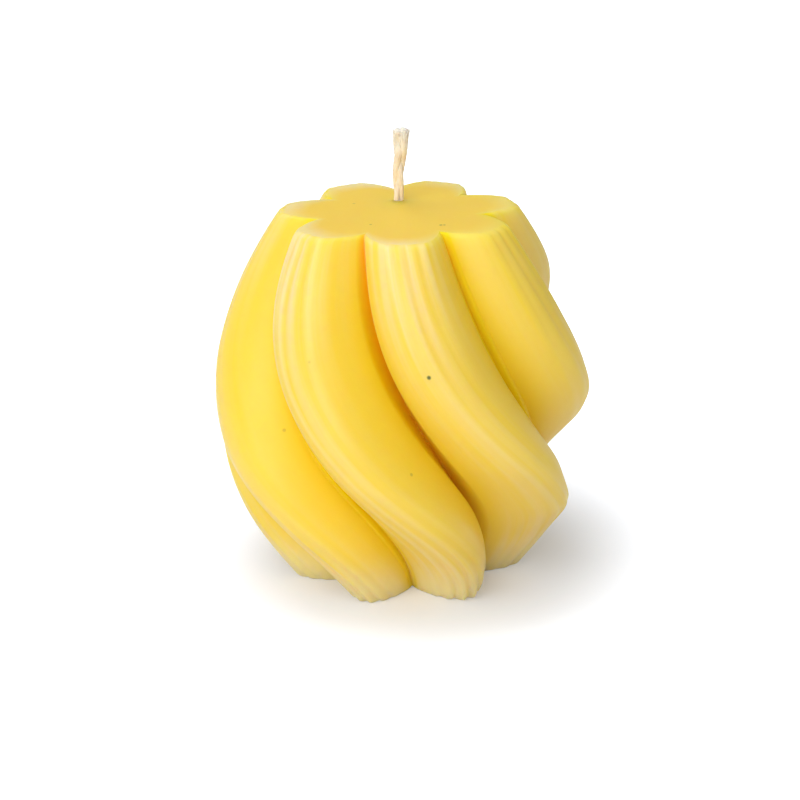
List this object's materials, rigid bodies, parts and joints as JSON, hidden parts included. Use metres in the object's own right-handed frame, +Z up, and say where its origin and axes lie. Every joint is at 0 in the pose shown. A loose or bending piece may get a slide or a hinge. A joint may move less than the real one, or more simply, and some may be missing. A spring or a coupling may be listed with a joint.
{
  "type": "sculptural candle",
  "caption": "Free-standing twisted beeswax pillar candle with swept, finely ridged lobes, a flat top and base, and a plaited cotton wick.",
  "frame": {"origin": "centre of the flat base, on the surface that the candle stands on", "axes": "+Z up along the body towards the wick, -Y the pictured front, +X to the right seen from the front"},
  "size_m": [0.057, 0.0588, 0.0686],
  "materials": {
    "beeswax": "satin, slightly translucent yellow beeswax",
    "cotton": "undyed plaited cotton, primed with wax"
  },
  "bodies": {
    "root": {"wax_body": "beeswax", "wick_strand_1": "cotton", "wick_strand_2": "cotton", "wick_strand_3": "cotton"}
  },
  "joints": []
}
